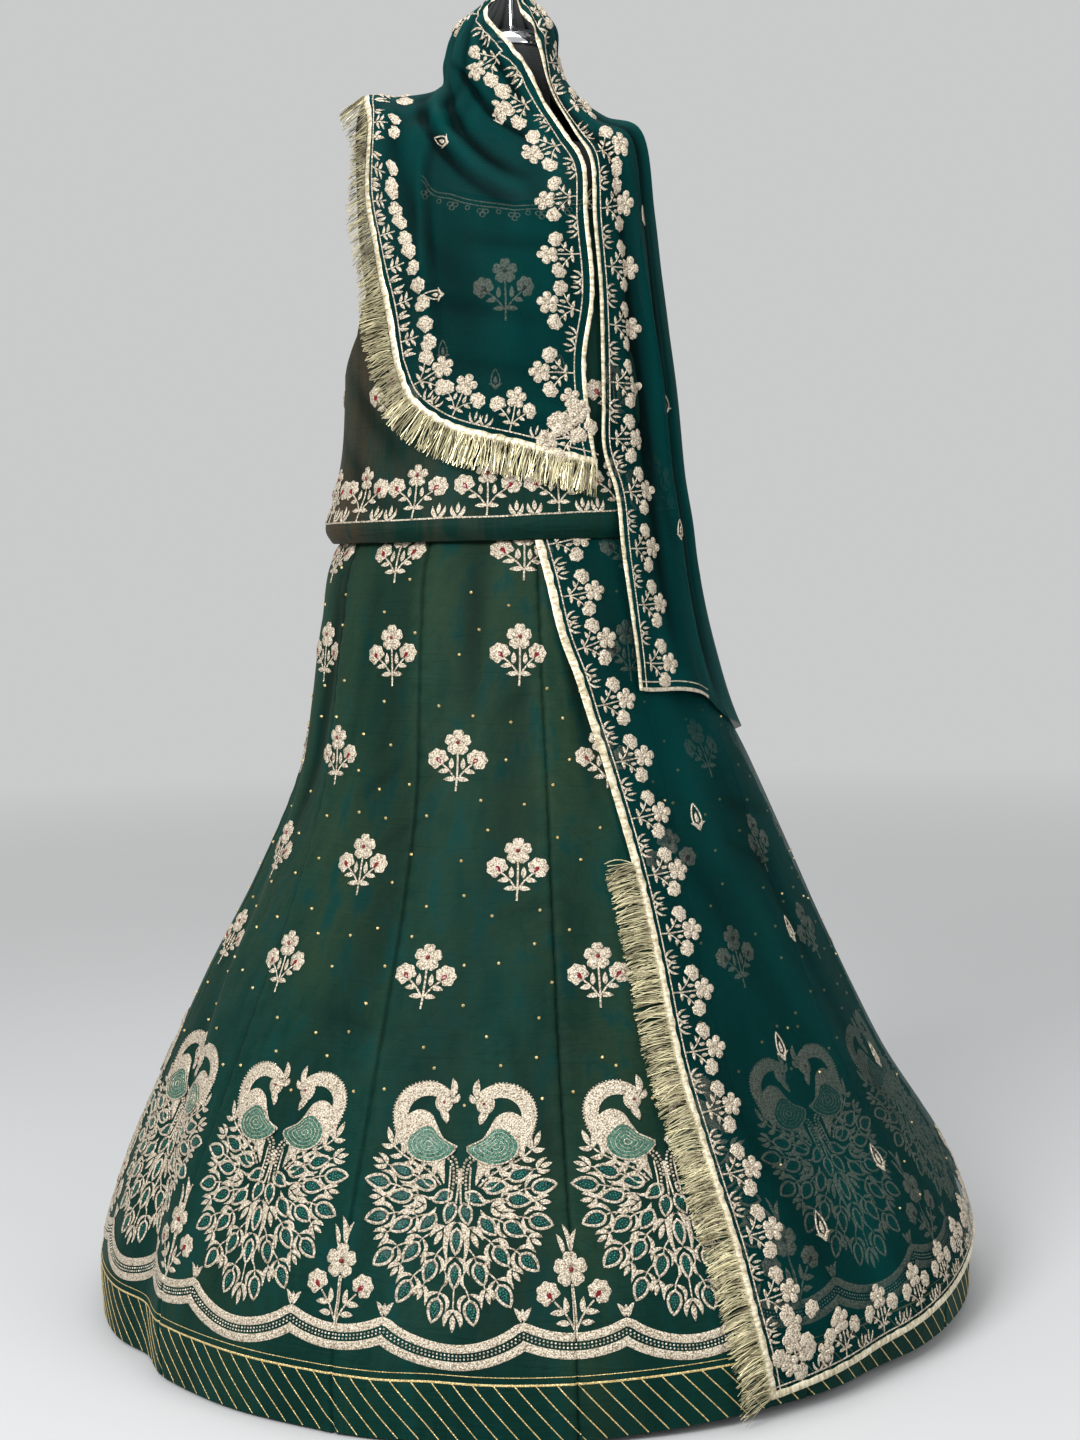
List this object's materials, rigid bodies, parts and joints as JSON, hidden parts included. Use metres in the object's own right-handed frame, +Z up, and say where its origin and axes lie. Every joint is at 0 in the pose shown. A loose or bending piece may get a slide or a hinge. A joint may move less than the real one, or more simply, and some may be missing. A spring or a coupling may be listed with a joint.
{
  "type": "rajputi poshak on a dress form",
  "caption": "Embroidered three-piece poshak: flared panelled lehenga, sleeveless kurti and sheer fringed odhni, draped on a limbless dress form with pole and base",
  "frame": {"origin": "centre of the underside of the dress form's round base plate, on the floor", "axes": "+Z up; the wearer's front faces -Y; +X is the viewer's right in the picture"},
  "size_m": [1.0616, 1.0022, 1.566],
  "materials": {
    "lehenga_silk": "shot silk with a soft sheen",
    "hem_band_silk": "shot silk with slanting gold lines",
    "waistband_cotton": "plain matt cotton",
    "kurti_silk": "shot silk with a soft sheen",
    "odhni_georgette": "sheer crinkled georgette",
    "gota_piping": "woven metallic ribbon",
    "kiran_fringe": "bright metallic strands",
    "embroidery_thread": "couched metallic thread",
    "sequins": "glossy sequins",
    "beads": "glossy metallic beads",
    "red_stones": "faceted red stones",
    "form_cloth": "matt black jersey",
    "chrome": "polished chrome",
    "base_paint": "satin black paint"
  },
  "bodies": {
    "root": {"lehenga_kali_01": "lehenga_silk", "lehenga_kali_02": "lehenga_silk", "lehenga_kali_03": "lehenga_silk", "lehenga_kali_04": "lehenga_silk", "lehenga_kali_05": "lehenga_silk", "lehenga_kali_06": "lehenga_silk", "lehenga_kali_07": "lehenga_silk", "lehenga_kali_08": "lehenga_silk", "lehenga_kali_09": "lehenga_silk", "lehenga_kali_10": "lehenga_silk", "lehenga_kali_11": "lehenga_silk", "lehenga_kali_12": "lehenga_silk", "lehenga_kali_13": "lehenga_silk", "lehenga_hem_01": "hem_band_silk", "lehenga_hem_02": "hem_band_silk", "lehenga_hem_03": "hem_band_silk", "lehenga_hem_04": "hem_band_silk", "lehenga_hem_05": "hem_band_silk", "lehenga_hem_06": "hem_band_silk", "lehenga_hem_07": "hem_band_silk", "lehenga_hem_08": "hem_band_silk", "lehenga_hem_09": "hem_band_silk", "lehenga_hem_10": "hem_band_silk", "lehenga_hem_11": "hem_band_silk", "lehenga_hem_12": "hem_band_silk", "lehenga_hem_13": "hem_band_silk", "lehenga_waistband_front": "waistband_cotton", "lehenga_waistband_back": "waistband_cotton", "kurti_front": "kurti_silk", "kurti_back": "kurti_silk", "odhni_front": "odhni_georgette", "odhni_right_fall": "odhni_georgette", "odhni_back": "odhni_georgette", "odhni_lower": "odhni_georgette", "odhni_piping_front_inner": "gota_piping", "odhni_piping_front_side": "gota_piping", "odhni_piping_front_lower": "gota_piping", "odhni_piping_right": "gota_piping", "odhni_piping_back": "gota_piping", "odhni_piping_slant": "gota_piping", "odhni_piping_floor": "gota_piping", "odhni_fringe_front": "kiran_fringe", "odhni_fringe_lower": "kiran_fringe", "form_torso": "form_cloth", "form_neck": "form_cloth", "form_neck_cap": "chrome", "form_finial": "chrome", "form_pole": "chrome", "form_base": "base_paint"}
  },
  "joints": []
}
